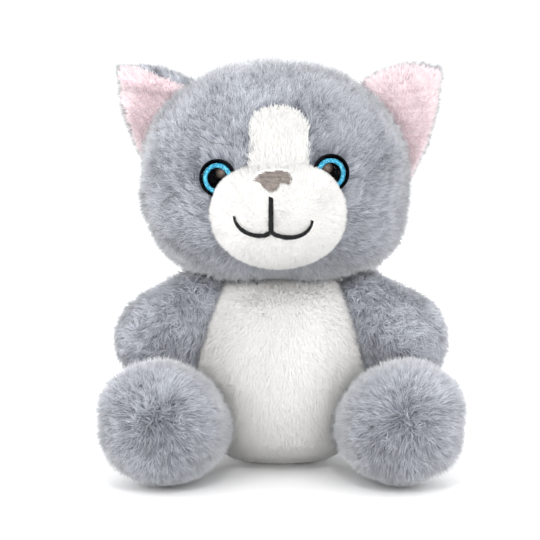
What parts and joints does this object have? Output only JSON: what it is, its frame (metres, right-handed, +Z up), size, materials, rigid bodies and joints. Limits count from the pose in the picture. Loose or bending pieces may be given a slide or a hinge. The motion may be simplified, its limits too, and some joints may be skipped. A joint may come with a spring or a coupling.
{
  "type": "interactive plush pet",
  "caption": "Sitting plush kitten, grey with white belly, muzzle and blaze, pink-lined ears, domed eyes, and a battery sound module behind a back flap.",
  "frame": {"origin": "on the floor, under the middle of the seat", "axes": "+Z up, the kitten faces -Y, and +X is to the right as seen from the front"},
  "size_m": [0.1598, 0.145, 0.187],
  "materials": {
    "grey_plush": "long-pile plush, blue-grey",
    "white_plush": "short-pile plush, white",
    "pink_plush": "short velour, pale pink",
    "stuffing": "polyester fibre fill",
    "nose_thread": "satin-stitched thread, grey-brown",
    "mouth_thread": "satin-stitched thread, black",
    "fastener_tape": "hook-and-loop tape, grey",
    "eye_black": "moulded, glossy black",
    "eye_glitter": "blue glitter",
    "eye_clear": "clear acrylic dome",
    "washer_plastic": "moulded, white",
    "case_plastic": "moulded ABS, off-white",
    "button_plastic": "moulded ABS, cream",
    "black_plastic": "moulded, black",
    "circuit_board": "green solder mask",
    "speaker_cone": "coated paper cone",
    "speaker_steel": "pressed steel",
    "nickel": "nickel plated",
    "screw_steel": "zinc plated",
    "wire_red": "PVC insulation, red",
    "wire_black": "PVC insulation, black"
  },
  "bodies": {
    "torso": {"belly_panel": "white_plush", "back_panel": "grey_plush", "base_panel": "grey_plush", "pocket_liner": "stuffing", "loop_tape": "fastener_tape", "torso_stuffing": "stuffing", "case_front": "case_plastic", "case_rear": "case_plastic", "case_screw_1": "screw_steel", "case_screw_2": "screw_steel", "battery_door": "case_plastic", "door_screw": "screw_steel", "button_cell_1": "nickel", "button_cell_2": "nickel", "button_cell_3": "nickel", "contact_strip_inner": "nickel", "contact_strip_door": "nickel", "contact_spring": "nickel", "speaker_frame": "speaker_steel", "speaker_cone": "speaker_cone", "speaker_wire_red": "wire_red", "speaker_wire_black": "wire_black", "circuit_board": "circuit_board", "press_switch": "black_plastic", "power_switch": "speaker_steel"},
    "neck": {"neck_stuffing": "stuffing"},
    "head": {"head_cover": "grey_plush", "head_stuffing": "stuffing", "muzzle_panel": "white_plush", "blaze_panel": "white_plush", "nose_embroidery": "nose_thread", "mouth_embroidery": "mouth_thread", "left_eye_cup": "eye_black", "left_eye_ring": "eye_glitter", "left_eye_dome": "eye_clear", "left_eye_washer": "washer_plastic", "right_eye_cup": "eye_black", "right_eye_ring": "eye_glitter", "right_eye_dome": "eye_clear", "right_eye_washer": "washer_plastic"},
    "left_ear": {"left_ear_back": "grey_plush", "left_ear_lining": "pink_plush"},
    "right_ear": {"right_ear_back": "grey_plush", "right_ear_lining": "pink_plush"},
    "left_arm": {"left_arm_cover": "grey_plush", "left_arm_stuffing": "stuffing"},
    "right_arm": {"right_arm_cover": "grey_plush", "right_arm_stuffing": "stuffing"},
    "left_leg": {"left_leg_cover": "grey_plush", "left_leg_stuffing": "stuffing"},
    "right_leg": {"right_leg_cover": "grey_plush", "right_leg_stuffing": "stuffing"},
    "tail": {"tail_cover": "grey_plush", "tail_stuffing": "stuffing"},
    "flap": {"access_flap": "grey_plush", "hook_tape": "fastener_tape"},
    "press_button": {"press_plate": "button_plastic"},
    "power_knob": {"power_slider": "black_plastic"}
  },
  "joints": [
    {"name": "head_turn", "type": "hinge", "parent": "torso", "child": "neck", "pos_m": [-0.0015, 0.002, 0.082], "axis": [0, 0, 1], "range_deg": [-25, 25], "stiffness_Nm_per_rad": 0.4},
    {"name": "head_nod", "type": "hinge", "parent": "neck", "child": "head", "pos_m": [-0.0015, 0.002, 0.082], "axis": [1, 0, 0], "range_deg": [-8, 8], "stiffness_Nm_per_rad": 2},
    {"name": "left_ear_fold", "type": "hinge", "parent": "head", "child": "left_ear", "pos_m": [-0.048, 0.0044, 0.1565], "axis": [0.5751, 0, 0.8181], "range_deg": [-10, 25], "stiffness_Nm_per_rad": 0.02},
    {"name": "right_ear_fold", "type": "hinge", "parent": "head", "child": "right_ear", "pos_m": [0.0477, 0.0044, 0.1537], "axis": [0.3829, 0, -0.9238], "range_deg": [-10, 25], "stiffness_Nm_per_rad": 0.02},
    {"name": "left_arm_raise", "type": "hinge", "parent": "torso", "child": "left_arm", "pos_m": [-0.0385, 0, 0.073], "axis": [0, 1, 0], "range_deg": [0, 35], "stiffness_Nm_per_rad": 0.03},
    {"name": "right_arm_raise", "type": "hinge", "parent": "torso", "child": "right_arm", "pos_m": [0.0385, 0, 0.073], "axis": [0, -1, 0], "range_deg": [0, 35], "stiffness_Nm_per_rad": 0.03},
    {"name": "left_leg_splay", "type": "hinge", "parent": "torso", "child": "left_leg", "pos_m": [-0.036, -0.014, 0.02], "axis": [0, 0, -1], "range_deg": [-6, 20], "stiffness_Nm_per_rad": 0.1},
    {"name": "right_leg_splay", "type": "hinge", "parent": "torso", "child": "right_leg", "pos_m": [0.036, -0.014, 0.02], "axis": [0, 0, 1], "range_deg": [-6, 20], "stiffness_Nm_per_rad": 0.1},
    {"name": "tail_swing", "type": "hinge", "parent": "torso", "child": "tail", "pos_m": [0, 0.038, 0.012], "axis": [0, 0, 1], "range_deg": [-30, 30], "stiffness_Nm_per_rad": 0.02},
    {"name": "flap_open", "type": "hinge", "parent": "torso", "child": "flap", "pos_m": [0, 0.0412, 0.057], "axis": [1, 0, 0], "range_deg": [0, 110]},
    {"name": "press_travel", "type": "slide", "parent": "torso", "child": "press_button", "axis": [0, 1, 0], "range_m": [0, 0.0013], "stiffness_N_per_m": 300, "springref_m": -0.001},
    {"name": "power_travel", "type": "slide", "parent": "torso", "child": "power_knob", "axis": [1, 0, 0], "range_m": [0, 0.004]}
  ]
}
